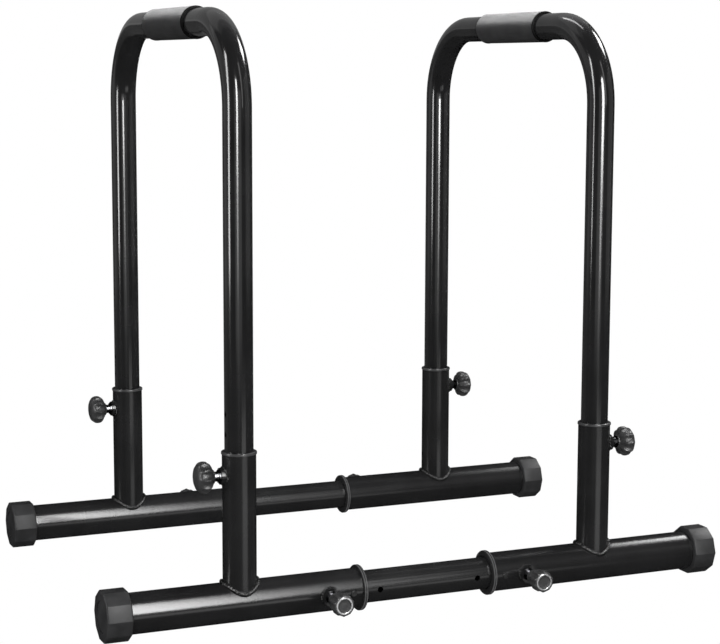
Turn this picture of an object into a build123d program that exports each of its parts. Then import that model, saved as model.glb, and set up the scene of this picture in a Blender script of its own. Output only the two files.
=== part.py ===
from build123d import *
from dataclasses import dataclass
import os

# Free-standing low parallel bars for body-weight training, in millimetres.
# Two inverted-U handles run front to back. Their legs stand in sockets welded on four base tubes, and a
# connector tube joins the left and the right base tube at the front and at the rear. Spring pull pins lock
# the height of each handle and the distance between the handles.
# The origin is on the floor in the middle of the footprint. +X runs along the base tubes, +Z is up.

# Overall sizes, with the handles at their highest and the base at its widest
base_length = 908.0  # over the end caps
handle_spacing = 532.0  # between the centrelines of the two handles
leg_spacing = 520.0  # between the centrelines of a handle's two legs
grip_height = 789.0  # floor to the centreline of a handle's top

# Handles
leg_od = 38.1
leg_wall = 1.5
bend_radius = 110.0  # centreline of the two bends in a handle
leg_floor_gap = 4.0  # under the leg, when the handle is at its lowest
grip_length = 182.0
grip_wall = 3.2
grip_offset = -8.0  # the grip's middle, from the middle of the handle
grip_rounding = 1.2

# Sockets for the legs
socket_height = 171.0  # crest of the base tube to the socket's mouth
socket_wall = 1.5
socket_play = 1.95  # radial room for the bush between leg and socket
socket_bush_depth = 20.0
socket_bush_lip = 3.5
socket_bush_overhang = 1.0  # the lip stands this far outside the socket
socket_bush_rounding = 1.0

# Base tubes and connector tubes
base_od = 54.0
base_wall = 2.0
connector_wall = 2.0
connector_overrun = 50.0  # length of connector tube past its last lock hole

# Bushes in the inner ends of the base tubes
bush_wall = 2.7
bush_depth = 35.0
bush_flange_length = 6.0
bush_flange_overhang = 4.0  # the flange stands this far outside the base tube
bush_flange_rounding = 1.5
rivet_from_mouth = 14.0
rivet_radius = 2.5
rivet_head_radius = 4.0
rivet_head_height = 1.2
rivet_grip_depth = 2.5  # how deep the rivet bites into the bush

# End caps, which are also the feet
cap_wall = 6.0  # rubber over the tube, at the middle of each flat
cap_length = 34.0
cap_floor = 6.0  # rubber past the end of the tube
cap_sides = 10
cap_edge = 2.0
cap_disc_radius = 21.0
cap_disc_depth = 1.2

# Adjustment
setting_count = 4  # height settings, and width settings
height_pitch = 27.0
width_pitch = 25.0
height_pin_below_mouth = 28.0
width_pin_from_mouth = 48.0
closing_gap = 19.0  # from each base bush to the middle, at the narrowest setting

# Pull pins
pin_radius = 3.5
pin_chamfer = 1.0
collar_radius = 5.3
collar_length = 2.0
stem_radius = 3.0
lock_hole_radius = 4.0  # in the legs and the connector tubes
wall_hole_radius = 3.8  # in the sockets and the base tubes
thread_radius = 7.0
housing_bore = 5.5
housing_flange_radius = 8.8
housing_flange_length = 2.0
housing_cap_radius = 6.5
housing_cap_wall = 1.5
spring_length = 4.5  # while the pin is pulled out
spring_wire = 0.8
spring_radius = 4.2  # centreline of the wire
spring_turns = 3.5
knob_flutes = 10
knob_face_depth = 1.0
knob_face_rim = 2.0
knob_neck_wall = 1.5
stem_cover = 3.0  # knob past the end of the stem

# Fits
running_clearance = 0.3  # radial, between a sliding tube and its bush
seat_clearance = 0.05  # radial, between pieces pushed or screwed together
pull_clearance = 0.45  # a pulled pin stands this far outside the tube it locks
stop_clearance = 0.5  # between a pushed-in collar and the tube wall
spring_clearance = 0.05  # at each end of a spring
cut_margin = 1.0  # a cut runs this far past the wall it goes through

# Sizes that follow from those above
leg_radius = leg_od / 2
socket_bore = leg_radius + socket_play
socket_radius = socket_bore + socket_wall
base_radius = base_od / 2
base_bore = base_radius - base_wall
connector_radius = base_bore - bush_wall - running_clearance
cap_apothem = base_radius + cap_wall
rail_height = cap_apothem
socket_foot = rail_height + base_radius
socket_mouth = socket_foot + socket_height
height_travel = (setting_count - 1) * height_pitch
width_travel = (setting_count - 1) * width_pitch
leg_bottom = socket_foot + leg_floor_gap + height_travel
height_pin_z = socket_mouth - height_pin_below_mouth
tube_mouth = width_travel + closing_gap + bush_flange_length
tube_end = base_length / 2 - cap_floor
width_pin_x = tube_mouth + width_pin_from_mouth
connector_half = width_pin_x + connector_overrun
rivet_x = tube_mouth + rivet_from_mouth

sides = {"left": -1, "right": 1}
ends = {"front": -1, "rear": 1}
corners = {f"{e}_{s}": (sx, sy) for s, sx in sides.items() for e, sy in ends.items()}

os.makedirs("parts", exist_ok=True)


@dataclass
class PinSizes:
    """One kind of pull pin. Lengths along the pin are measured from the axis of the tube it sits on."""

    seat: float  # outer radius of the tube that the nut is welded on
    locked_radius: float  # outer radius of the tube that the pin locks
    travel: float
    nut_radius: float
    nut_height: float
    knob_start: float
    head_start: float
    head_end: float
    neck_radius: float
    head_radius: float
    flare: float  # length over which the head widens
    dome: float  # length over which it closes at the outer end
    face_radius: float
    flute_radius: float
    flute_depth: float

    @property
    def nut_face(self):
        return self.seat + self.nut_height

    @property
    def tip(self):
        return self.locked_radius + pull_clearance

    @property
    def collar(self):
        return self.seat + stop_clearance + self.travel

    @property
    def spring_end(self):
        return self.collar + collar_length + spring_length

    @property
    def housing_end(self):
        return self.spring_end + housing_cap_wall

    @property
    def flange_end(self):
        return self.nut_face + housing_flange_length

    @property
    def stem_end(self):
        return self.head_end - knob_face_depth - stem_cover


height_pin = PinSizes(
    seat=socket_radius,
    locked_radius=leg_radius,
    travel=5.0,
    nut_radius=11.0,
    nut_height=4.5,
    knob_start=socket_radius + 13.0,
    head_start=socket_radius + 15.0,
    head_end=socket_radius + 38.0,
    neck_radius=9.5,
    head_radius=21.0,
    flare=8.0,
    dome=9.0,
    face_radius=10.0,
    flute_radius=4.5,
    flute_depth=2.8,
)
width_pin = PinSizes(
    seat=base_radius,
    locked_radius=connector_radius,
    travel=5.5,
    nut_radius=12.0,
    nut_height=6.0,
    knob_start=base_radius + 16.0,
    head_start=base_radius + 22.0,
    head_end=base_radius + 49.0,
    neck_radius=9.5,
    head_radius=15.0,
    flare=9.0,
    dome=3.0,
    face_radius=12.5,
    flute_radius=3.3,
    flute_depth=1.8,
)


@dataclass
class PinPlace:
    """Where a pull pin sits: a point on its tube's axis, its outward direction, its tube's direction."""

    sizes: PinSizes
    point: tuple
    outward: tuple
    tube: tuple

    @property
    def axis(self):
        return Axis(self.point, self.outward)

    @property
    def section(self):
        """Plane through the pin, with its local x as the radius and its local y as the length."""
        across = Vector(0, 0, 1)
        return Plane(self.point, x_dir=across, z_dir=across.cross(Vector(*self.outward)))

    @property
    def face(self):
        """Plane across the pin, on the axis of its tube."""
        return Plane(self.point, x_dir=(0, 0, 1), z_dir=self.outward)


def height_place(sx, sy):
    point = (sx * handle_spacing / 2, sy * leg_spacing / 2, height_pin_z)
    return PinPlace(height_pin, point, (sx, 0, 0), (0, 0, 1))


def width_place(sx, sy):
    point = (sx * width_pin_x, sy * leg_spacing / 2, rail_height)
    return PinPlace(width_pin, point, (0, sy, 0), (1, 0, 0))


def save(piece, label):
    piece.part.label = label
    export_step(piece.part, f"parts/{label}.step")


# Connector tubes: one at the front and one at the rear, free to slide in the base tubes.
# A row of lock holes near each end faces the pull pins.
for end, sy in ends.items():
    with BuildPart() as connector_tube:
        with BuildSketch(Plane.YZ.offset(-connector_half)):
            with Locations((sy * leg_spacing / 2, rail_height)):
                Circle(connector_radius)
                Circle(connector_radius - connector_wall, mode=Mode.SUBTRACT)
        extrude(amount=2 * connector_half)
        lock_holes = [
            (sx * (width_pin_x - step * width_pitch), rail_height)
            for sx in sides.values()
            for step in range(setting_count)
        ]
        with BuildSketch(Plane.XZ.offset(-sy * leg_spacing / 2)):
            with Locations(*lock_holes):
                Circle(lock_hole_radius)
        extrude(amount=-sy * base_radius, mode=Mode.SUBTRACT)
    save(connector_tube, f"{end}_connector_tube")

# Base tubes: one at each corner, with a hole for the pull pin and one for the rivet of the bush
for corner, (sx, sy) in corners.items():
    with BuildPart() as base_tube:
        with BuildSketch(Plane.YZ.offset(sx * tube_mouth)):
            with Locations((sy * leg_spacing / 2, rail_height)):
                Circle(base_radius)
                Circle(base_bore, mode=Mode.SUBTRACT)
        extrude(amount=sx * (tube_end - tube_mouth))
        with BuildSketch(Plane.XZ.offset(-sy * leg_spacing / 2)):
            with Locations((sx * width_pin_x, rail_height)):
                Circle(wall_hole_radius)
            with Locations((sx * rivet_x, rail_height)):
                Circle(rivet_radius + seat_clearance)
        extrude(amount=-sy * (base_radius + cut_margin), mode=Mode.SUBTRACT)
    save(base_tube, f"base_tube_{corner}")

# Upright sockets: tubes with a fish-mouth end, welded on the base tubes
for corner, (sx, sy) in corners.items():
    leg_x = sx * handle_spacing / 2
    leg_y = sy * leg_spacing / 2
    with BuildPart() as upright_socket:
        with BuildSketch(Plane.XY.offset(rail_height)):
            with Locations((leg_x, leg_y)):
                Circle(socket_radius)
                Circle(socket_bore, mode=Mode.SUBTRACT)
        extrude(amount=socket_mouth - rail_height)
        with BuildSketch(Plane.YZ.offset(leg_x)):
            with Locations((leg_y, rail_height)):
                Circle(base_radius)
        extrude(amount=2 * socket_radius, both=True, mode=Mode.SUBTRACT)
        with BuildSketch(height_place(sx, sy).face):
            Circle(wall_hole_radius)
        extrude(amount=socket_radius + cut_margin, mode=Mode.SUBTRACT)
    save(upright_socket, f"upright_socket_{corner}")

# End caps: ten-sided rubber cups on the outer ends of the base tubes. The object stands on their flats.
for corner, (sx, sy) in corners.items():
    with BuildPart() as end_cap:
        with BuildSketch(Plane.YZ.offset(sx * (base_length / 2 - cap_length))):
            with Locations((sy * leg_spacing / 2, rail_height)):
                RegularPolygon(cap_apothem, cap_sides, major_radius=False)
        extrude(amount=sx * cap_length)
        chamfer(end_cap.faces().sort_by(Axis.X)[0].edges(), cap_edge)
        chamfer(end_cap.faces().sort_by(Axis.X)[-1].edges(), cap_edge)
        with BuildSketch(Plane.YZ.offset(sx * tube_end)):
            with Locations((sy * leg_spacing / 2, rail_height)):
                Circle(base_radius + seat_clearance)
        extrude(amount=-sx * cap_length, mode=Mode.SUBTRACT)
        with BuildSketch(Plane.YZ.offset(sx * base_length / 2)):
            with Locations((sy * leg_spacing / 2, rail_height)):
                Circle(cap_disc_radius)
        extrude(amount=-sx * cap_disc_depth, mode=Mode.SUBTRACT)
    save(end_cap, f"end_cap_{corner}")

# Base bushes: flanged plastic sleeves in the inner ends of the base tubes, round the connector tubes
for corner, (sx, sy) in corners.items():
    with BuildPart() as base_bush:
        with BuildSketch(Plane.YZ.offset(sx * (tube_mouth - bush_flange_length))):
            with Locations((sy * leg_spacing / 2, rail_height)):
                Circle(base_radius + bush_flange_overhang)
        extrude(amount=sx * bush_flange_length)
        fillet(base_bush.edges(), bush_flange_rounding)
        with BuildSketch(Plane.YZ.offset(sx * tube_mouth)):
            with Locations((sy * leg_spacing / 2, rail_height)):
                Circle(base_bore - seat_clearance)
        extrude(amount=sx * bush_depth)
        with BuildSketch(Plane.YZ.offset(sx * (tube_mouth - bush_flange_length))):
            with Locations((sy * leg_spacing / 2, rail_height)):
                Circle(connector_radius + running_clearance)
        extrude(amount=sx * (bush_flange_length + bush_depth), mode=Mode.SUBTRACT)
        with BuildSketch(Plane.XZ.offset(-sy * leg_spacing / 2)):
            with Locations((sx * rivet_x, rail_height)):
                Circle(rivet_radius + seat_clearance)
        extrude(amount=-sy * base_radius, mode=Mode.SUBTRACT)
    save(base_bush, f"base_bush_{corner}")

# Bush rivets: round-headed, through the wall of each base tube into its bush
for side, sx in sides.items():
    with BuildPart() as bush_rivets:
        for sy in ends.values():
            rivet_face = Plane.XZ.offset(-sy * leg_spacing / 2)
            with BuildSketch(rivet_face.offset(-sy * (base_radius - cut_margin))):
                with Locations((sx * rivet_x, rail_height)):
                    Circle(rivet_head_radius)
            extrude(amount=-sy * (rivet_head_height + cut_margin))
            rivet_head = bush_rivets.faces().sort_by(Axis.Y)[0 if sy < 0 else -1]
            fillet(rivet_head.edges(), rivet_head_height / 2)
            with BuildSketch(Plane.YZ.offset(sx * rivet_x)):
                with Locations((sy * leg_spacing / 2, rail_height)):
                    Circle(base_radius)
            extrude(amount=2 * rivet_head_radius, both=True, mode=Mode.SUBTRACT)
        for sy in ends.values():
            rivet_face = Plane.XZ.offset(-sy * leg_spacing / 2)
            shank_start = base_bore - rivet_grip_depth
            with BuildSketch(rivet_face.offset(-sy * shank_start)):
                with Locations((sx * rivet_x, rail_height)):
                    Circle(rivet_radius)
            extrude(amount=-sy * (base_radius + rivet_head_height / 2 - shank_start))
    save(bush_rivets, f"bush_rivets_{side}")

# Socket bushes: plastic sleeves with a lip, in the mouths of the upright sockets
for corner, (sx, sy) in corners.items():
    leg_axis = (sx * handle_spacing / 2, sy * leg_spacing / 2)
    with BuildPart() as socket_bush:
        with BuildSketch(Plane.XY.offset(socket_mouth)):
            with Locations(leg_axis):
                Circle(socket_radius + socket_bush_overhang)
        extrude(amount=socket_bush_lip)
        fillet(socket_bush.edges().sort_by(Axis.Z)[-1], socket_bush_rounding)
        with BuildSketch(Plane.XY.offset(socket_mouth)):
            with Locations(leg_axis):
                Circle(socket_bore - seat_clearance)
        extrude(amount=-socket_bush_depth)
        with BuildSketch(Plane.XY.offset(socket_mouth - socket_bush_depth)):
            with Locations(leg_axis):
                Circle(leg_radius + running_clearance)
        extrude(amount=socket_bush_depth + socket_bush_lip, mode=Mode.SUBTRACT)
    save(socket_bush, f"socket_bush_{corner}")

# Handles: one length of tube bent into an inverted U, with lock holes in the outer side of each leg
for side, sx in sides.items():
    with BuildPart() as handle_tube:
        with BuildLine(Plane.YZ.offset(sx * handle_spacing / 2)) as bend_path:
            FilletPolyline(
                (-leg_spacing / 2, leg_bottom),
                (-leg_spacing / 2, grip_height),
                (leg_spacing / 2, grip_height),
                (leg_spacing / 2, leg_bottom),
                radius=bend_radius,
            )
        with BuildSketch(Plane.XY.offset(leg_bottom)):
            with Locations((sx * handle_spacing / 2, -leg_spacing / 2)):
                Circle(leg_radius)
                Circle(leg_radius - leg_wall, mode=Mode.SUBTRACT)
        sweep(path=bend_path.wires()[0])
        lock_holes = [
            (sy * leg_spacing / 2, height_pin_z + step * height_pitch)
            for sy in ends.values()
            for step in range(setting_count)
        ]
        with BuildSketch(Plane.YZ.offset(sx * handle_spacing / 2)):
            with Locations(*lock_holes):
                Circle(lock_hole_radius)
        extrude(amount=sx * (leg_radius + cut_margin), mode=Mode.SUBTRACT)
    save(handle_tube, f"{side}_handle_tube")

# Grips: soft sleeves on the tops of the handles
for side, sx in sides.items():
    with BuildPart() as grip:
        grip_rear = grip_offset + grip_length / 2
        with BuildSketch(Plane.XZ.offset(-grip_rear)):
            with Locations((sx * handle_spacing / 2, grip_height)):
                Circle(leg_radius + grip_wall)
        extrude(amount=grip_length)
        fillet(grip.edges().filter_by(GeomType.CIRCLE), grip_rounding)
        with BuildSketch(Plane.XZ.offset(-grip_rear)):
            with Locations((sx * handle_spacing / 2, grip_height)):
                Circle(leg_radius + seat_clearance)
        extrude(amount=grip_length, mode=Mode.SUBTRACT)
    save(grip, f"{side}_grip")

# Welded nuts: round bosses that hold the pull pins, shaped to the tube they are welded on
for side, sx in sides.items():
    with BuildPart() as welded_nuts:
        for sy in ends.values():
            for place in (height_place(sx, sy), width_place(sx, sy)):
                with BuildSketch(place.face.offset(place.sizes.seat / 2)):
                    Circle(place.sizes.nut_radius)
                    Circle(thread_radius + seat_clearance, mode=Mode.SUBTRACT)
                extrude(amount=place.sizes.nut_face - place.sizes.seat / 2)
                with BuildSketch(Plane(place.point, z_dir=place.tube)):
                    Circle(place.sizes.seat)
                extrude(amount=2 * place.sizes.nut_radius, both=True, mode=Mode.SUBTRACT)
    save(welded_nuts, f"welded_nuts_{side}")

# Plunger housings: screwed into the nuts, each with a bore for the spring and a cap with a hole for the stem
for side, sx in sides.items():
    with BuildPart() as plunger_housings:
        for sy in ends.values():
            for place in (height_place(sx, sy), width_place(sx, sy)):
                sizes = place.sizes
                with BuildSketch(place.section):
                    with BuildLine():
                        Polyline(
                            (housing_bore, sizes.seat + stop_clearance),
                            (thread_radius, sizes.seat + stop_clearance),
                            (thread_radius, sizes.nut_face),
                            (housing_flange_radius, sizes.nut_face),
                            (housing_flange_radius, sizes.flange_end),
                            (housing_cap_radius, sizes.flange_end),
                            (housing_cap_radius, sizes.housing_end),
                            (stem_radius + running_clearance, sizes.housing_end),
                            (stem_radius + running_clearance, sizes.spring_end),
                            (housing_bore, sizes.spring_end),
                            close=True,
                        )
                    make_face()
                revolve(axis=place.axis)
    save(plunger_housings, f"plunger_housings_{side}")


def make_plunger(place):
    """Steel pin with a collar for the spring and a stem that carries the knob."""
    sizes = place.sizes
    with BuildPart() as plunger:
        with BuildSketch(place.section):
            with BuildLine():
                Polyline(
                    (0, sizes.tip),
                    (pin_radius - pin_chamfer, sizes.tip),
                    (pin_radius, sizes.tip + pin_chamfer),
                    (pin_radius, sizes.collar),
                    (collar_radius, sizes.collar),
                    (collar_radius, sizes.collar + collar_length),
                    (stem_radius, sizes.collar + collar_length),
                    (stem_radius, sizes.stem_end),
                    (0, sizes.stem_end),
                    close=True,
                )
            make_face()
        revolve(axis=place.axis)
    return plunger


def make_spring(place):
    """Compression spring between the collar and the housing's cap, round the stem."""
    sizes = place.sizes
    start = sizes.collar + collar_length + spring_clearance + spring_wire / 2
    end = sizes.spring_end - spring_clearance - spring_wire / 2
    with BuildPart() as spring:
        with BuildLine() as coil:
            Helix(
                pitch=(end - start) / spring_turns,
                height=end - start,
                radius=spring_radius,
                center=place.face.offset(start).origin,
                direction=place.outward,
            )
        with BuildSketch(Plane(coil.line @ 0, z_dir=coil.line % 0)):
            Circle(spring_wire / 2)
        sweep(path=coil.line, is_frenet=True)
    return spring


def make_knob(place):
    """Fluted plastic knob, pressed on the stem, hollow where it passes over the housing."""
    sizes = place.sizes
    cavity_end = sizes.housing_end + sizes.travel + stop_clearance
    cavity_radius = sizes.neck_radius - knob_neck_wall
    flute_centre = sizes.head_radius + sizes.flute_radius - sizes.flute_depth
    with BuildPart() as knob:
        with BuildSketch(place.section):
            with BuildLine():
                Polyline(
                    (0, sizes.head_end),
                    (0, sizes.knob_start),
                    (sizes.neck_radius, sizes.knob_start),
                    (sizes.neck_radius, sizes.head_start),
                    (sizes.head_radius, sizes.head_start + sizes.flare),
                    (sizes.head_radius, sizes.head_end - sizes.dome),
                )
                TangentArc(
                    (sizes.head_radius, sizes.head_end - sizes.dome),
                    (sizes.face_radius, sizes.head_end),
                    tangent=(0, 1),
                )
                Line((sizes.face_radius, sizes.head_end), (0, sizes.head_end))
            make_face()
        revolve(axis=place.axis)
        with BuildSketch(place.face.offset(sizes.head_start)):
            with PolarLocations(flute_centre, knob_flutes):
                Circle(sizes.flute_radius)
        extrude(amount=sizes.head_end - sizes.head_start, mode=Mode.SUBTRACT)
        with BuildSketch(place.face.offset(sizes.head_end)):
            Circle(sizes.face_radius - knob_face_rim)
        extrude(amount=-knob_face_depth, mode=Mode.SUBTRACT)
        with BuildSketch(place.face.offset(sizes.knob_start)):
            Circle(cavity_radius)
        extrude(amount=cavity_end - sizes.knob_start, mode=Mode.SUBTRACT)
        with BuildSketch(place.face.offset(cavity_end)):
            Circle(stem_radius + seat_clearance)
        extrude(amount=sizes.stem_end - cavity_end, mode=Mode.SUBTRACT)
    return knob


# Pull pins: a plunger, its spring and its knob at each of the eight places
for corner, (sx, sy) in corners.items():
    for use, place in (("height", height_place(sx, sy)), ("width", width_place(sx, sy))):
        save(make_plunger(place), f"{use}_plunger_{corner}")
        save(make_spring(place), f"{use}_spring_{corner}")
        save(make_knob(place), f"{use}_knob_{corner}")
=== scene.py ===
from math import atan2, cos, hypot, pi, radians, sin, sqrt

import bpy
from mathutils import Matrix, Vector


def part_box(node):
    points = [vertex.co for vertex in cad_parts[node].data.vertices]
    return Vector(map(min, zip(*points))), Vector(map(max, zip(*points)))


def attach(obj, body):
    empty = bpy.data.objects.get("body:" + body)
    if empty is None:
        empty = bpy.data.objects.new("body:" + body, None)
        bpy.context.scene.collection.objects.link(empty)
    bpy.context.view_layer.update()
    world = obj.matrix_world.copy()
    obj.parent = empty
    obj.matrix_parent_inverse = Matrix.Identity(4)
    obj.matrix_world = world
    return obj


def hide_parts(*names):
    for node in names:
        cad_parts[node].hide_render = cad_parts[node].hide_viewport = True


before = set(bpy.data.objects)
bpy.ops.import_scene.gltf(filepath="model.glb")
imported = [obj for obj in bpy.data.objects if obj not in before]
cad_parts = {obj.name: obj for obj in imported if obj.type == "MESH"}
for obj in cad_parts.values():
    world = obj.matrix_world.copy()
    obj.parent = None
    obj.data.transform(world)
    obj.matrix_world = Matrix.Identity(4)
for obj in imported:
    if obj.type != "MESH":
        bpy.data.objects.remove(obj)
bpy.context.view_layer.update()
bpy.ops.object.select_all(action="DESELECT")


# Connector tubes: steel tube with a glossy black powder coat, one at the front and one at the rear.
# They slide in the plastic bushes, so fine lengthwise streaks show in the gloss of the coat.
def new_material(name):
    """An empty node material, its principled shader and its object coordinates."""
    material = bpy.data.materials.new(name)
    material.use_nodes = True
    nodes = material.node_tree.nodes
    return material, nodes["Principled BSDF"], nodes.new("ShaderNodeTexCoord").outputs["Object"]


def noise(material, where, scale, detail=3.0, roughness=0.5):
    """The factor of a noise texture on those coordinates."""
    texture = material.node_tree.nodes.new("ShaderNodeTexNoise")
    texture.inputs["Scale"].default_value = scale
    texture.inputs["Detail"].default_value = detail
    texture.inputs["Roughness"].default_value = roughness
    material.node_tree.links.new(where, texture.inputs["Vector"])
    return texture.outputs["Fac"]


def cells(material, where, scale):
    """The distance to the nearest point of a cellular pattern, for pebbled surfaces."""
    texture = material.node_tree.nodes.new("ShaderNodeTexVoronoi")
    texture.inputs["Scale"].default_value = scale
    material.node_tree.links.new(where, texture.inputs["Vector"])
    return texture.outputs["Distance"]


def stretched(material, where, scale):
    """Coordinates scaled apart along each axis, for streaks and grain."""
    mapping = material.node_tree.nodes.new("ShaderNodeMapping")
    mapping.inputs["Scale"].default_value = scale
    material.node_tree.links.new(where, mapping.inputs["Vector"])
    return mapping.outputs["Vector"]


def spread(material, factor, low, high, start=0.3, end=0.7):
    """A number that runs from low to high as the factor runs from start to end."""
    ramp = material.node_tree.nodes.new("ShaderNodeMapRange")
    ramp.inputs["From Min"].default_value = start
    ramp.inputs["From Max"].default_value = end
    ramp.inputs["To Min"].default_value = low
    ramp.inputs["To Max"].default_value = high
    material.node_tree.links.new(factor, ramp.inputs["Value"])
    return ramp.outputs["Result"]


def tint(material, factor, dark, light, start=0.3, end=0.7):
    """A colour that runs from dark to light as the factor runs from start to end."""
    ramp = material.node_tree.nodes.new("ShaderNodeValToRGB")
    ramp.color_ramp.elements[0].position = start
    ramp.color_ramp.elements[0].color = (*dark, 1)
    ramp.color_ramp.elements[1].position = end
    ramp.color_ramp.elements[1].color = (*light, 1)
    material.node_tree.links.new(factor, ramp.inputs["Fac"])
    return ramp.outputs["Color"]


def bumps(material, height, depth, under=None):
    """A bump of that depth in metres, on top of another bump if one is given."""
    bump = material.node_tree.nodes.new("ShaderNodeBump")
    bump.inputs["Distance"].default_value = depth
    material.node_tree.links.new(height, bump.inputs["Height"])
    if under:
        material.node_tree.links.new(under, bump.inputs["Normal"])
    return bump.outputs["Normal"]


def powder_coat(name, streak_scale, rough_low, rough_high, peel_depth=0.00004):
    """Glossy black powder coat with orange peel, cloudy gloss and fine streaks."""
    material, shader, where = new_material(name)
    link = material.node_tree.links.new
    clouds = noise(material, where, 16.0)
    streaks = noise(material, stretched(material, where, streak_scale), 1.0, detail=4)
    peel = noise(material, where, 380.0, detail=2)
    nibs = noise(material, where, 1500.0, detail=1)
    link(tint(material, clouds, (0.010, 0.010, 0.0103), (0.015, 0.015, 0.0154)), shader.inputs["Base Color"])
    link(spread(material, streaks, rough_low, rough_high), shader.inputs["Roughness"])
    link(bumps(material, nibs, peel_depth / 4, bumps(material, peel, peel_depth)), shader.inputs["Normal"])
    return material


def finish(node, material):
    """Gives a CAD node its finish."""
    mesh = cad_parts[node].data
    mesh.materials.clear()
    mesh.materials.append(material)


def edges(node, axis):
    """Where a CAD node's box starts and ends along an axis, to 0.01 mm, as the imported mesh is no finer."""
    low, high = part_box(node)
    return round(low[axis], 5), round(high[axis], 5)


def centre(node, axis):
    """The middle of a CAD node's box along an axis."""
    return round(sum(edges(node, axis)) / 2, 5)


def span(node, axis):
    """The length of a CAD node's box along an axis."""
    start, end = edges(node, axis)
    return round(end - start, 5)


ENDS = {"front": -1, "rear": 1}
connector_coat = powder_coat("connector_powder_coat", (4, 320, 320), 0.17, 0.27)
for end in ENDS:
    finish(f"{end}_connector_tube", connector_coat)

# Base tubes: steel tube with a smooth glossy black powder coat, joined to the sockets by welding.
# The coat is a little cloudy and carries faint handling marks along the tube.
SIDES = {"left": -1, "right": 1}
CORNERS = [(f"{end}_{side}", side, sx, sy) for side, sx in SIDES.items() for end, sy in ENDS.items()]
rail_coat = powder_coat("rail_powder_coat", (3, 60, 60), 0.16, 0.24)
for corner, side, sx, sy in CORNERS:
    finish(f"base_tube_{corner}", rail_coat)

# Upright sockets: steel tube stood on the base tubes, in the same black powder coat.
# The marks run up and down, where the legs go in and out.
socket_coat = powder_coat("socket_powder_coat", (60, 60, 3), 0.16, 0.24)
for corner, side, sx, sy in CORNERS:
    finish(f"upright_socket_{corner}", socket_coat)

# Welded nuts: round steel bosses for the pull pins, coated together with the frame.
# The coat pulls back from their edges and lies thicker and glossier between them and the tube.
nut_coat = powder_coat("nut_powder_coat", (200, 200, 200), 0.1, 0.22)
for side in SIDES:
    finish(f"welded_nuts_{side}", nut_coat)


# Weld beads: a bead of weld round the foot of each socket and round each nut, under the black coat.
# A bead lies on the tube, so it follows a saddle line, and its ripples show in the gloss.
def pick(piece, test):
    """Selects the vertices of the piece that pass the test, in edit mode."""
    bpy.ops.object.mode_set(mode="EDIT")
    bpy.ops.mesh.select_mode(type="VERT")
    bpy.ops.mesh.select_all(action="DESELECT")
    bpy.ops.object.mode_set(mode="OBJECT")
    for vertex in piece.data.vertices:
        vertex.select = test(vertex.co)
    bpy.ops.object.mode_set(mode="EDIT")


def facing(point, outward, across):
    """A placement with its Z along outward and its X along across."""
    z = Vector(outward)
    x = Vector(across)
    return Matrix.Translation(point) @ Matrix((x, z.cross(x), z)).transposed().to_4x4()


def placed(master, name, where, body, material, node=None):
    """A copy of the master with its own mesh, put in place on its body."""
    piece = master.copy()
    piece.data = master.data.copy()
    piece.name = name
    piece.data.name = name
    bpy.context.scene.collection.objects.link(piece)
    piece.matrix_world = where
    bpy.ops.object.select_all(action="DESELECT")
    piece.select_set(True)
    bpy.context.view_layer.objects.active = piece
    bpy.ops.object.transform_apply(location=True, rotation=True, scale=True)
    piece.data.materials.clear()
    piece.data.materials.append(material)
    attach(piece, body)
    if node:
        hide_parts(node)
    return piece


def weld_bead(ring_radius, tube_radius, thickness):
    """A bead round Z at that radius, let down onto a tube that lies along X."""
    columns = 144
    bpy.ops.object.select_all(action="DESELECT")
    bpy.ops.mesh.primitive_torus_add(
        major_radius=ring_radius, minor_radius=thickness, major_segments=columns, minor_segments=12
    )
    bead = bpy.context.object
    for column in range(columns // 4 + 1):
        angle = 2 * pi * column / columns
        pick(bead, lambda co: abs(atan2(abs(co.y), abs(co.x)) - angle) < pi / columns)
        drop = sqrt(tube_radius**2 - (ring_radius * sin(angle)) ** 2)
        ripple = 1 + 0.14 * sin(2.6 * column) + 0.1 * sin(1.1 * column)
        bpy.ops.transform.resize(value=(1, 1, ripple), center_override=(0, 0, 0))
        bpy.ops.transform.translate(value=(0, 0, drop))
    bpy.ops.object.mode_set(mode="OBJECT")
    bpy.ops.object.shade_smooth()
    return bead


weld_coat, weld_shader, weld_where = new_material("weld_powder_coat")
weld_link = weld_coat.node_tree.links.new
weld_uv = weld_coat.node_tree.nodes.new("ShaderNodeTexCoord").outputs["UV"]
weld_wave = weld_coat.node_tree.nodes.new("ShaderNodeTexWave")
weld_wave.inputs["Scale"].default_value = 14.0
weld_wave.inputs["Distortion"].default_value = 1.5
weld_link(weld_uv, weld_wave.inputs["Vector"])
weld_lumps = noise(weld_coat, weld_where, 330.0)
weld_tint = tint(weld_coat, weld_lumps, (0.006, 0.006, 0.006), (0.014, 0.014, 0.014))
weld_link(weld_tint, weld_shader.inputs["Base Color"])
weld_link(spread(weld_coat, weld_lumps, 0.1, 0.22), weld_shader.inputs["Roughness"])
weld_ripples = bumps(weld_coat, weld_wave.outputs["Fac"], 0.0005)
weld_link(bumps(weld_coat, weld_lumps, 0.0009, weld_ripples), weld_shader.inputs["Normal"])

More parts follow.
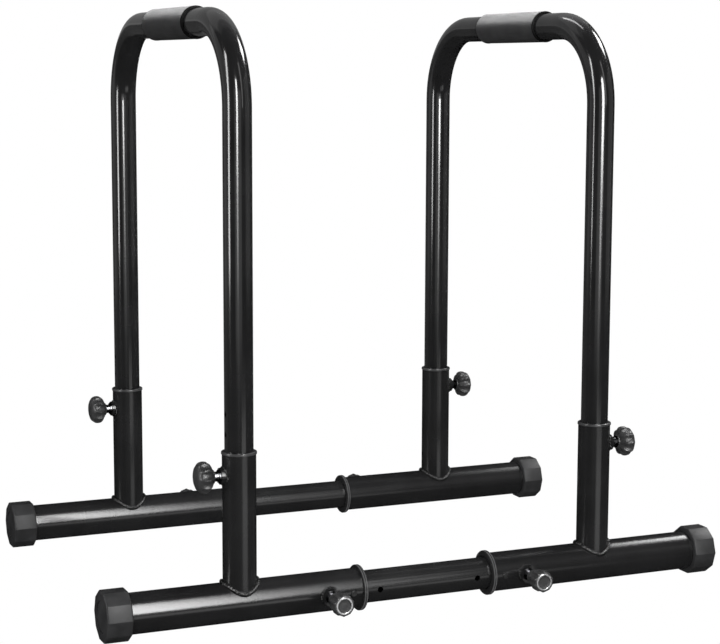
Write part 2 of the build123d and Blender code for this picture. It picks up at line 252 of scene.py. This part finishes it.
rail_y = centre("base_tube_rear_right", 1)
rail_z = centre("base_tube_rear_right", 2)
rail_radius = span("base_tube_rear_right", 1) / 2
leg_x = centre("upright_socket_rear_right", 0)
socket_radius = span("upright_socket_rear_right", 0) / 2
socket_rim = edges("upright_socket_rear_right", 2)[1]
height_pin_z = centre("height_knob_rear_right", 2)
width_pin_x = centre("width_knob_rear_right", 0)
socket_bead_thickness = 0.0032
nut_bead_thickness = 0.0015
height_bead_radius = 0.0113
width_bead_radius = 0.0123
socket_bead = weld_bead(socket_radius + 0.0012, rail_radius + 0.0009, socket_bead_thickness)
height_bead = weld_bead(height_bead_radius, socket_radius + 0.0004, nut_bead_thickness)
width_bead = weld_bead(width_bead_radius, rail_radius + 0.0004, nut_bead_thickness)
for corner, side, sx, sy in CORNERS:
    on_rail = facing((sx * leg_x, sy * rail_y, rail_z), (0, 0, 1), (1, 0, 0))
    placed(socket_bead, f"socket_weld_{corner}", on_rail, f"{side}_frame", weld_coat)
    on_socket = facing((sx * leg_x, sy * rail_y, height_pin_z), (sx, 0, 0), (0, 0, 1))
    placed(height_bead, f"height_nut_weld_{corner}", on_socket, f"{side}_frame", weld_coat)
    beside_rail = facing((sx * width_pin_x, sy * rail_y, rail_z), (0, sy, 0), (1, 0, 0))
    placed(width_bead, f"width_nut_weld_{corner}", beside_rail, f"{side}_frame", weld_coat)
for master in (socket_bead, height_bead, width_bead):
    bpy.data.objects.remove(master)


# End caps: ten-sided cups of black rubber, pushed on the outer ends of the base tubes, which stand on them.
# The flats meet in crisp edges, the rims are rounded, and a shallow round panel is sunk in the end.
def cut(piece, cutter):
    """Takes the cutter's shape out of the piece."""
    boolean = piece.modifiers.new("cut", "BOOLEAN")
    boolean.object = cutter
    boolean.operation = "DIFFERENCE"
    boolean.solver = "EXACT"
    bpy.context.view_layer.objects.active = piece
    bpy.ops.object.modifier_apply(modifier="cut")
    bpy.data.objects.remove(cutter)


def moulded(name, dark, light, rough_low, rough_high, grain_scale, grain_depth, shade=None):
    """A black moulded material with uneven gloss and a fine grain, cloudy or coloured by its own shade."""
    material, shader, where = new_material(name)
    link = material.node_tree.links.new
    clouds = noise(material, where, 45.0, detail=5)
    grain = noise(material, where, grain_scale, detail=3, roughness=0.6)
    pits = cells(material, where, grain_scale * 0.7)
    colour = shade(material, where) if shade else clouds
    link(tint(material, colour, dark, light), shader.inputs["Base Color"])
    link(spread(material, clouds, rough_low, rough_high), shader.inputs["Roughness"])
    link(bumps(material, pits, grain_depth / 2, bumps(material, grain, grain_depth)), shader.inputs["Normal"])
    return material


cap_rubber = moulded("cap_rubber", (0.014, 0.014, 0.0145), (0.024, 0.024, 0.025), 0.42, 0.54, 900.0, 0.00012)
cap_rubber.node_tree.nodes["Principled BSDF"].inputs["Specular IOR Level"].default_value = 0.3
cap_apothem = span("end_cap_rear_right", 2) / 2
cap_length = span("end_cap_rear_right", 0)
cap_mouth = edges("end_cap_rear_right", 0)[0]
cap_bore = 0.02705
cap_floor = 0.006
cap_panel = 0.021
cap_panel_depth = 0.0012
cap_rim_rounding = 0.0021
cap_edge_rounding = 0.0005
cap_groove_radius = 0.0007
bpy.ops.object.select_all(action="DESELECT")
bpy.ops.mesh.primitive_cylinder_add(
    vertices=10, radius=cap_apothem / cos(pi / 10), depth=cap_length, location=(0, 0, cap_length / 2)
)
cap_master = bpy.context.object
bpy.ops.object.transform_apply(location=True, rotation=True, scale=True)
bpy.ops.object.mode_set(mode="EDIT")
bpy.ops.mesh.select_mode(type="FACE")
bpy.ops.mesh.select_all(action="DESELECT")
bpy.ops.object.mode_set(mode="OBJECT")
for polygon in cap_master.data.polygons:
    polygon.select = abs(polygon.normal.z) > 0.9
bpy.ops.object.mode_set(mode="EDIT")
bpy.ops.mesh.region_to_loop()
bpy.ops.mesh.bevel(offset=cap_rim_rounding, segments=3, affect="EDGES")
bpy.ops.object.mode_set(mode="OBJECT")
cap_edges = cap_master.modifiers.new("edges", "BEVEL")
cap_edges.width = cap_edge_rounding
cap_edges.segments = 2
cap_edges.limit_method = "ANGLE"
cap_edges.angle_limit = radians(22)
bpy.ops.object.modifier_apply(modifier="edges")
bpy.ops.mesh.primitive_cylinder_add(
    vertices=96, radius=cap_bore, depth=cap_length, location=(0, 0, cap_length / 2 - cap_floor)
)
cut(cap_master, bpy.context.object)
bpy.ops.mesh.primitive_cylinder_add(
    vertices=96, radius=cap_panel, depth=cap_floor,
    location=(0, 0, cap_length - cap_panel_depth + cap_floor / 2)
)
cut(cap_master, bpy.context.object)
bpy.ops.mesh.primitive_torus_add(
    major_radius=cap_panel - 0.0008, minor_radius=cap_groove_radius, major_segments=96, minor_segments=12,
    location=(0, 0, cap_length - cap_panel_depth)
)
cut(cap_master, bpy.context.object)
bpy.ops.object.select_all(action="DESELECT")
cap_master.select_set(True)
bpy.context.view_layer.objects.active = cap_master
bpy.ops.object.shade_smooth_by_angle(angle=radians(24))
caps = []
for corner, side, sx, sy in CORNERS:
    mouth = facing((sx * cap_mouth, sy * rail_y, rail_z), (sx, 0, 0), (0, 0, 1))
    caps.append(placed(cap_master, f"cap_{corner}", mouth, f"{side}_frame", cap_rubber,
                       f"end_cap_{corner}"))
bpy.data.objects.remove(cap_master)


# Base bushes: flanged sleeves of black plastic in the inner ends of the base tubes, held by a rivet each.
# The flange has two rounded lips, with a painted highlight in paler grey on their crests, and the bore has a
# lead-in.
def turned(name, stations, sides=96, ring=True):
    """A body turned round Z through (height, radius) stations: closed on itself, or filled at both ends."""
    height, radius = stations[0]
    bpy.ops.object.select_all(action="DESELECT")
    bpy.ops.mesh.primitive_circle_add(vertices=sides, radius=radius, location=(0, 0, height))
    body = bpy.context.object
    body.name = name
    bpy.ops.object.transform_apply(location=True, rotation=True, scale=True)
    bpy.ops.object.mode_set(mode="EDIT")
    bpy.ops.mesh.select_mode(type="VERT")
    bpy.ops.mesh.select_all(action="SELECT")
    for next_height, next_radius in stations[1:]:
        bpy.ops.mesh.extrude_region_move(TRANSFORM_OT_translate={"value": (0, 0, next_height - height)})
        scale = next_radius / radius
        bpy.ops.transform.resize(value=(scale, scale, 1), center_override=(0, 0, 0))
        height = next_height
        radius = next_radius
    bpy.ops.mesh.select_all(action="DESELECT")
    bpy.ops.mesh.select_non_manifold()
    if ring:
        bpy.ops.mesh.bridge_edge_loops()
    else:
        bpy.ops.mesh.fill_holes(sides=0)
    bpy.ops.mesh.select_all(action="SELECT")
    bpy.ops.mesh.normals_make_consistent(inside=False)
    bpy.ops.object.mode_set(mode="OBJECT")
    bpy.ops.object.shade_smooth_by_angle(angle=radians(30))
    return body


def lip_crest_highlight(material, where):
    """How near a point of the flange is to the crests of its lips, measured from the axis of the rail: the
    mask of their painted highlight.
    """
    reach = where
    for operation, operand in (
        ("ABSOLUTE", (0, 0, 0)), ("SUBTRACT", (0, rail_y, rail_z)),
        ("MULTIPLY", (0, 1, 1)), ("LENGTH", (0, 0, 0)),
    ):
        step = material.node_tree.nodes.new("ShaderNodeVectorMath")
        step.operation = operation
        step.inputs[1].default_value = operand
        material.node_tree.links.new(reach, step.inputs[0])
        reach = step.outputs["Value" if operation == "LENGTH" else "Vector"]
    return spread(material, reach, 0.3, 0.7, 0.0305, 0.0309)


# The paler grey on the crests of the flange's lips is a painted highlight.
bush_plastic = moulded(
    "bush_plastic", (0.018, 0.018, 0.0185), (0.085, 0.085, 0.086), 0.12, 0.2, 700.0, 0.00004, shade=lip_crest_highlight
)
flange_face = edges("base_bush_rear_right", 0)[0]
base_bush_master = turned(
    "base_bush_master",
    [
        (0.0, 0.0231), (0.0, 0.0297), (0.0004, 0.0305), (0.0012, 0.031), (0.0022, 0.031), (0.0026, 0.0304),
        (0.0034, 0.0304), (0.0038, 0.031), (0.0048, 0.031), (0.0056, 0.0305), (0.006, 0.0297),
        (0.006, 0.02495), (0.041, 0.02495), (0.041, 0.0223), (0.0008, 0.0223),
    ],
)
for corner, side, sx, sy in CORNERS:
    flange = facing((sx * flange_face, sy * rail_y, rail_z), (sx, 0, 0), (0, 0, 1))
    placed(base_bush_master, f"flanged_bush_{corner}", flange, f"{side}_frame", bush_plastic,
           f"base_bush_{corner}")
bpy.data.objects.remove(base_bush_master)

# Bush rivets: small round-headed steel rivets through the base tubes, painted black with them.
# The paint is thick and glossy on the heads, clouded with patches of a greyer coat.
rivet_coat, rivet_shader, rivet_where = new_material("rivet_powder_coat")
rivet_clouds = noise(rivet_coat, rivet_where, 300.0)
rivet_link = rivet_coat.node_tree.links.new
rivet_tint = tint(rivet_coat, rivet_clouds, (0.005, 0.005, 0.005), (0.012, 0.012, 0.0124))
rivet_link(rivet_tint, rivet_shader.inputs["Base Color"])
rivet_link(spread(rivet_coat, rivet_clouds, 0.25, 0.45), rivet_shader.inputs["Roughness"])
rivet_link(bumps(rivet_coat, rivet_clouds, 0.0001), rivet_shader.inputs["Normal"])
for side in SIDES:
    finish(f"bush_rivets_{side}", rivet_coat)

# Socket bushes: black plastic sleeves in the mouths of the sockets, with a thin lip that rests on the rim.
# The lip's top edge is rounded and catches the light as a fine line.
lip_plastic = moulded("lip_plastic", (0.03, 0.03, 0.031), (0.05, 0.05, 0.051), 0.25, 0.38, 700.0, 0.00005)
socket_bush_master = turned(
    "socket_bush_master",
    [
        (-0.02, 0.0199), (-0.0196, 0.02095), (0.0, 0.02095), (0.0, 0.0233), (0.0003, 0.0235),
        (0.0023, 0.0235), (0.003, 0.0233), (0.0034, 0.0228), (0.0035, 0.0221), (0.0035, 0.0199),
        (0.0029, 0.01935), (-0.0196, 0.01935),
    ],
)
for corner, side, sx, sy in CORNERS:
    rim = facing((sx * leg_x, sy * rail_y, socket_rim), (0, 0, 1), (1, 0, 0))
    placed(socket_bush_master, f"lipped_bush_{corner}", rim, f"{side}_frame", lip_plastic,
           f"socket_bush_{corner}")
bpy.data.objects.remove(socket_bush_master)

# Handle tubes: one length of steel tube each, bent into an inverted U, in a very glossy black powder coat.
# Sliding in the socket bushes has left fine upright streaks on the legs.
handle_coat = powder_coat("handle_powder_coat", (140, 140, 3), 0.1, 0.15, peel_depth=0.000012)
for side in SIDES:
    finish(f"{side}_handle_tube", handle_coat)

# Grips: sleeves of dense black foam rubber, pushed on the tops of the handles.
# The skin is matte and finely pebbled, with soft lengthwise scuffs, and the cut ends are painted near black
# as shade.
grip_low, grip_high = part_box("left_grip")
grip_length = grip_high[1] - grip_low[1]
grip_front = grip_low[1]
grip_rear = grip_high[1]
grip_z = (grip_low[2] + grip_high[2]) / 2
grip_foam, grip_shader, grip_where = new_material("grip_foam")
grip_link = grip_foam.node_tree.links.new
grip_nodes = grip_foam.node_tree.nodes
grip_pebbles = cells(grip_foam, grip_where, 1100.0)
grip_scuffs = noise(grip_foam, stretched(grip_foam, grip_where, (90, 12, 90)), 1.0, detail=5)
grip_clouds = noise(grip_foam, grip_where, 60.0, detail=5)
grip_skin = tint(grip_foam, grip_clouds, (0.026, 0.026, 0.027), (0.038, 0.038, 0.039))
grip_split = grip_nodes.new("ShaderNodeSeparateXYZ")
grip_link(grip_where, grip_split.inputs["Vector"])
grip_from_middle = grip_nodes.new("ShaderNodeMath")
grip_from_middle.operation = "SUBTRACT"
grip_from_middle.inputs[1].default_value = (grip_front + grip_rear) / 2
grip_link(grip_split.outputs["Y"], grip_from_middle.inputs[0])
grip_distance = grip_nodes.new("ShaderNodeMath")
grip_distance.operation = "ABSOLUTE"
grip_link(grip_from_middle.outputs["Value"], grip_distance.inputs[0])
grip_half = grip_length / 2
# Painted shade: the last few millimetres at each end go near black and lose most of their specular.
grip_end_painted_shade = spread(grip_foam, grip_distance.outputs["Value"], 0.0, 1.0, grip_half - 0.0026, grip_half - 0.002)
grip_shaded_mix = grip_nodes.new("ShaderNodeMix")
grip_shaded_mix.data_type = "RGBA"
grip_shaded_mix.inputs["B"].default_value = (0.004, 0.004, 0.004, 1)
grip_link(grip_end_painted_shade, grip_shaded_mix.inputs["Factor"])
grip_link(grip_skin, grip_shaded_mix.inputs["A"])
grip_link(grip_shaded_mix.outputs["Result"], grip_shader.inputs["Base Color"])
grip_link(spread(grip_foam, grip_scuffs, 0.35, 0.46), grip_shader.inputs["Roughness"])
grip_link(spread(grip_foam, grip_end_painted_shade, 0.5, 0.05, 0.0, 1.0), grip_shader.inputs["Specular IOR Level"])
grip_fine = noise(grip_foam, grip_where, 2400.0, detail=2)
grip_relief = bumps(grip_foam, grip_fine, 0.00006, bumps(grip_foam, grip_pebbles, 0.00012))
grip_link(bumps(grip_foam, grip_scuffs, 0.0001, grip_relief), grip_shader.inputs["Normal"])
grip_master = turned(
    "grip_master",
    [
        (0.0, 0.0194), (0.0, 0.0213), (0.0003, 0.0221), (0.0012, 0.0225), (0.003, 0.0224), (0.006, 0.02225),
        (grip_half, 0.0223), (grip_length - 0.006, 0.02225), (grip_length - 0.003, 0.0224),
        (grip_length - 0.0012, 0.0225), (grip_length - 0.0003, 0.0221), (grip_length, 0.0213),
        (grip_length, 0.0194), (grip_length - 0.0005, 0.0191), (0.0005, 0.0191),
    ],
)
grips = []
for side, sx in SIDES.items():
    start = facing((sx * leg_x, grip_front, grip_z), (0, 1, 0), (1, 0, 0))
    grip = placed(grip_master, f"foam_grip_{side}", start, f"{side}_handle", grip_foam,
                  f"{side}_grip")
    grips.append(grip)
bpy.data.objects.remove(grip_master)

# Plunger housings and plungers: turned steel with a dark bright plating, screwed into the welded nuts.
# Fine turning lines run round them, and the plating is clouded in places.
plating, plating_shader, plating_where = new_material("dark_plating")
plating_link = plating.node_tree.links.new
plating_clouds = noise(plating, plating_where, 120.0, detail=4)
plating_lines = noise(plating, stretched(plating, plating_where, (2600, 2600, 300)), 1.0, detail=1)
plating_tint = tint(plating, plating_clouds, (0.11, 0.11, 0.115), (0.24, 0.24, 0.25))
plating_link(plating_tint, plating_shader.inputs["Base Color"])
plating_link(spread(plating, plating_clouds, 0.12, 0.28), plating_shader.inputs["Roughness"])
plating_link(bumps(plating, plating_lines, 0.00002), plating_shader.inputs["Normal"])
plating_shader.inputs["Metallic"].default_value = 1.0
for side in SIDES:
    finish(f"plunger_housings_{side}", plating)
for corner, side, sx, sy in CORNERS:
    finish(f"height_plunger_{corner}", plating)
    finish(f"width_plunger_{corner}", plating)

# Springs: coils of drawn steel wire round the stems, inside the housings.
# The wire is dull, with fine drawing lines and a film of grease.
wire, wire_shader, wire_where = new_material("spring_wire")
wire_clouds = noise(wire, wire_where, 700.0, detail=3)
wire_link = wire.node_tree.links.new
wire_link(tint(wire, wire_clouds, (0.3, 0.29, 0.27), (0.5, 0.49, 0.47)), wire_shader.inputs["Base Color"])
wire_link(spread(wire, wire_clouds, 0.3, 0.5), wire_shader.inputs["Roughness"])
wire_link(bumps(wire, wire_clouds, 0.00003), wire_shader.inputs["Normal"])
wire_shader.inputs["Metallic"].default_value = 1.0
for corner, side, sx, sy in CORNERS:
    finish(f"height_spring_{corner}", wire)
    finish(f"width_spring_{corner}", wire)

# Height knobs: black plastic mushroom knobs pressed on the stems, hollow where they pass over the housing.
# Ten deep flutes run up from the neck and fade out on the smooth domed face.
knob_plastic = moulded(
    "knob_plastic", (0.026, 0.026, 0.0265), (0.045, 0.045, 0.046), 0.26, 0.42, 1000.0, 0.0003
)


def fluted(knob, rings, spread_columns):
    """Presses ten flutes into the knob's rings, given as (height, radius, depth)."""
    flutes = 10
    columns = 12
    sides = flutes * columns
    for height, radius, depth in rings:
        for column in range(spread_columns + 1):
            share = sqrt(1 - (column / (spread_columns + 0.4)) ** 2)
            scale = 1 - depth * share / radius

            def on_flute(co):
                if abs(co.z - height) > 0.00002 or abs(hypot(co.x, co.y) - radius) > 0.00002:
                    return False
                step = round(atan2(co.y, co.x) * sides / (2 * pi)) % columns
                return min(step, columns - step) == column

            pick(knob, on_flute)
            bpy.ops.transform.resize(value=(scale, scale, 1), center_override=(0, 0, 0))
    bpy.ops.object.mode_set(mode="OBJECT")
    bpy.ops.object.shade_smooth_by_angle(angle=radians(40))


height_profile = [
    (0.0565, 0.00305), (0.0415, 0.00305), (0.0415, 0.008), (0.0359, 0.008), (0.0355, 0.0084),
    (0.0355, 0.0089), (0.0359, 0.0094), (0.0372, 0.0097), (0.0384, 0.0126), (0.04, 0.0158),
    (0.042, 0.0186), (0.0445, 0.0204), (0.0475, 0.021), (0.0505, 0.021), (0.0535, 0.0203),
    (0.056, 0.0187), (0.058, 0.0162), (0.0594, 0.013), (0.0602, 0.0092), (0.0605, 0.0048),
    (0.0606, 0.0015),
]
height_flutes = [
    (0.0384, 0.0126, 0.0014), (0.04, 0.0158, 0.0026), (0.042, 0.0186, 0.0034), (0.0445, 0.0204, 0.0036),
    (0.0475, 0.021, 0.0034), (0.0505, 0.021, 0.003), (0.0535, 0.0203, 0.0022), (0.056, 0.0187, 0.0012),
    (0.058, 0.0162, 0.0004),
]
height_knob_master = turned("height_knob_master", height_profile, sides=120, ring=False)
fluted(height_knob_master, height_flutes, 4)
for corner, side, sx, sy in CORNERS:
    on_pin = facing((sx * leg_x, sy * rail_y, height_pin_z), (sx, 0, 0), (0, 0, 1))
    placed(height_knob_master, f"mushroom_knob_{corner}", on_pin, f"height_pin_{corner}",
           knob_plastic, f"height_knob_{corner}")
bpy.data.objects.remove(height_knob_master)

# Width knobs: slimmer black plastic knobs with a plain neck that flares to a fluted head.
# The flat face has a rounded rim and a sunken middle for the trim ring.
width_profile = [
    (0.072, 0.00305), (0.047, 0.00305), (0.047, 0.008), (0.0434, 0.008), (0.043, 0.0084), (0.043, 0.0089),
    (0.0434, 0.0094), (0.0485, 0.0092), (0.0502, 0.0098), (0.053, 0.0118), (0.056, 0.0136), (0.059, 0.0147),
    (0.062, 0.015), (0.067, 0.015), (0.071, 0.015), (0.0735, 0.0148), (0.0749, 0.0142), (0.0757, 0.0134),
    (0.076, 0.0124), (0.076, 0.0091), (0.0753, 0.0088), (0.0751, 0.0084), (0.0753, 0.004), (0.0754, 0.001),
]
width_flutes = [
    (0.053, 0.0118, 0.0005), (0.056, 0.0136, 0.0013), (0.059, 0.0147, 0.0019), (0.062, 0.015, 0.002),
    (0.067, 0.015, 0.002), (0.071, 0.015, 0.002), (0.0735, 0.0148, 0.0016), (0.0749, 0.0142, 0.0008),
]
width_knob_master = turned("width_knob_master", width_profile, sides=120, ring=False)
fluted(width_knob_master, width_flutes, 4)
for corner, side, sx, sy in CORNERS:
    on_pin = facing((sx * width_pin_x, sy * rail_y, rail_z), (0, sy, 0), (1, 0, 0))
    placed(width_knob_master, f"flared_knob_{corner}", on_pin, f"width_pin_{corner}",
           knob_plastic, f"width_knob_{corner}")
bpy.data.objects.remove(width_knob_master)

# Trim rings: thin bright metal rings pressed into the faces of the width knobs.
# They are spun bright, with fine lines round them, and left plain.
trim, trim_shader, trim_where = new_material("bright_trim")
trim_link = trim.node_tree.links.new
trim_clouds = noise(trim, trim_where, 250.0, detail=3)
trim_lines = noise(trim, stretched(trim, trim_where, (3000, 200, 3000)), 1.0, detail=1)
trim_link(tint(trim, trim_clouds, (0.62, 0.62, 0.63), (0.8, 0.8, 0.8)), trim_shader.inputs["Base Color"])
trim_link(spread(trim, trim_clouds, 0.22, 0.4), trim_shader.inputs["Roughness"])
trim_link(bumps(trim, trim_lines, 0.00002), trim_shader.inputs["Normal"])
trim_shader.inputs["Metallic"].default_value = 1.0
trim_master = turned(
    "trim_master",
    [
        (0.0758, 0.0092), (0.0762, 0.0092), (0.07645, 0.0095), (0.0765, 0.01), (0.0765, 0.011),
        (0.07645, 0.0115), (0.0762, 0.0118), (0.0758, 0.0118),
    ],
)
for corner, side, sx, sy in CORNERS:
    on_pin = facing((sx * width_pin_x, sy * rail_y, rail_z), (0, sy, 0), (1, 0, 0))
    placed(trim_master, f"trim_ring_{corner}", on_pin, f"width_pin_{corner}", trim)
bpy.data.objects.remove(trim_master)

# Studio: a plain pale floor that is lit as brightly as the space round it, so the object stands on white.
# Soft cards at the front give the coat its grey sheen, and narrow strips draw the bright lines on the tubes.
bpy.ops.mesh.primitive_plane_add(size=40, location=(0, 0, -0.0005))
floor = bpy.context.object
floor.name = "studio_floor"
floor_paint = bpy.data.materials.new("studio_floor")
floor_paint.use_nodes = True
floor_shader = floor_paint.node_tree.nodes["Principled BSDF"]
floor_shader.inputs["Base Color"].default_value = (0, 0, 0, 1)
floor_shader.inputs["Roughness"].default_value = 1.0
floor_shader.inputs["Specular IOR Level"].default_value = 0.0
floor_shader.inputs["Emission Color"].default_value = (1, 1, 1, 1)
floor_shader.inputs["Emission Strength"].default_value = 1.0
floor.data.materials.append(floor_paint)
floor.visible_glossy = False
floor.visible_diffuse = False
floor.visible_shadow = False

world = bpy.data.worlds.new("studio")
bpy.context.scene.world = world
world.use_nodes = True
world.node_tree.nodes["Background"].inputs["Color"].default_value = (1, 1, 1, 1)
world.node_tree.nodes["Background"].inputs["Strength"].default_value = 1.0
world.cycles_visibility.glossy = False


def softbox(name, place, aim, width, height, radiance, lit=(), shaded=(), diffuse=True, glossy=True):
    """A rectangular area light that faces aim; flags keep it on the lit pieces, or off the shaded ones."""
    light = bpy.data.lights.new(name, "AREA")
    light.shape = "RECTANGLE"
    light.size = width
    light.size_y = height
    light.energy = radiance * pi * width * height
    lamp = bpy.data.objects.new(name, light)
    bpy.context.scene.collection.objects.link(lamp)
    lamp.location = place
    lamp.rotation_mode = "QUATERNION"
    lamp.rotation_quaternion = (Vector(aim) - Vector(place)).to_track_quat("-Z", "Y")
    lamp.visible_camera = False
    lamp.visible_diffuse = diffuse
    lamp.visible_glossy = glossy
    if lit or shaded:
        flagged = bpy.data.collections.new(name)
        for piece in (*lit, *shaded):
            flagged.objects.link(piece)
        for flag in flagged.collection_objects:
            flag.light_linking.link_state = "INCLUDE" if lit else "EXCLUDE"
        lamp.light_linking.receiver_collection = flagged


middle = (0, 0, 0.4)
left_handle = [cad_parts["left_handle_tube"]]
right_handle = [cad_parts["right_handle_tube"]]
handles = left_handle + right_handle
softbox("front_card", (-1.2, -4.2, 0.9), middle, 4.0, 2.4, 0.7)
softbox("key_softbox", (0.2, -2.55, 1.68), (-0.3, -0.2, 0.1), 0.7, 2.8, 23, shaded=handles, diffuse=False)
softbox("key_edge", (0.72, -2.45, 1.7), (-0.1, -0.2, 0.1), 0.35, 2.4, 2.5, diffuse=False)
softbox("low_card", (0.6, -2.6, -0.45), (0, 0, 0.1), 1.5, 0.5, 1.3)
softbox("right_overhead", (2.45, 0.24, 2.6), (0.6, 0, 0), 1.1, 0.9, 20)
softbox("left_strip", (-2.2, -0.35, 1.35), (0, 0, 1.35), 0.42, 2.2, 15, diffuse=False)
softbox("far_left_strip", (-2.2, -5.8, 2.2), (0, 0, 2.2), 1.1, 3.8, 28, lit=left_handle, diffuse=False)
softbox("far_left_foot", (-2.2, -5.8, 0.05), (0, 0, 0.4), 1.1, 0.4, 5, lit=left_handle, diffuse=False)
softbox("far_right_strip", (-0.65, -5.8, 2.2), (0, 0, 2.2), 1.7, 3.8, 30, lit=right_handle, diffuse=False)
softbox("far_right_foot", (-0.75, -5.8, 0.05), (0, 0, 0.4), 1.2, 0.4, 7, lit=right_handle, diffuse=False)
softbox("right_card", (3.4, -1.8, 1.2), middle, 3.2, 2.6, 0.35)
softbox("left_card", (-3.2, 1.6, 1.2), middle, 2.8, 2.6, 0.35)
softbox("bend_card", (0, 2.6, 2.6), (0, 0, 0.8), 6.0, 4.0, 0.3, lit=handles)
softbox("bend_card_high", (0, 1.6, 3.4), (0, 0, 0.8), 5.0, 2.6, 0.2, lit=handles)
softbox("bend_card_low", (-1.6, 3.2, 0.2), (0, 0, 0.8), 6.0, 2.0, 0.09, lit=handles)
softbox("bend_streak", (-0.05, 1.05, 2.9), (0.27, -0.33, 0.79), 0.28, 1.7, 7, lit=right_handle)
softbox("grip_card", (0, 3.0, 2.3), (0, 0, 0.8), 3.6, 0.9, 5, lit=grips)
softbox("cap_card", (-3.0, -1.2, 0.5), (0, 0, 0), 1.6, 1.6, 5, lit=caps, glossy=False)
softbox("top_card", (0.4, 0.4, 2.8), (0, 0, 0.4), 1.8, 1.4, 6, glossy=False)

# Camera: a long lens at eye height for a seated person, a little to the left of the front.
# It is turned by a fraction of a degree, as a hand-levelled camera is.
camera_data = bpy.data.cameras.new("camera")
camera_data.sensor_width = 36.0
camera_data.lens = 92.86
camera = bpy.data.objects.new("camera", camera_data)
bpy.context.scene.collection.objects.link(camera)
azimuth = radians(-23.23)
elevation = radians(7.83)
roll = radians(0.19)
back = Vector((sin(azimuth) * cos(elevation), -cos(azimuth) * cos(elevation), sin(elevation)))
level_right = (-back).cross(Vector((0, 0, 1))).normalized()
level_up = level_right.cross(-back)
right = cos(roll) * level_right + sin(roll) * level_up
up = -sin(roll) * level_right + cos(roll) * level_up
stand = Matrix.Translation((-1.0578, -2.5030, 0.7308))
camera.matrix_world = stand @ Matrix((right, up, back)).transposed().to_4x4()
bpy.context.scene.camera = camera
bpy.context.scene.view_settings.view_transform = "Standard"
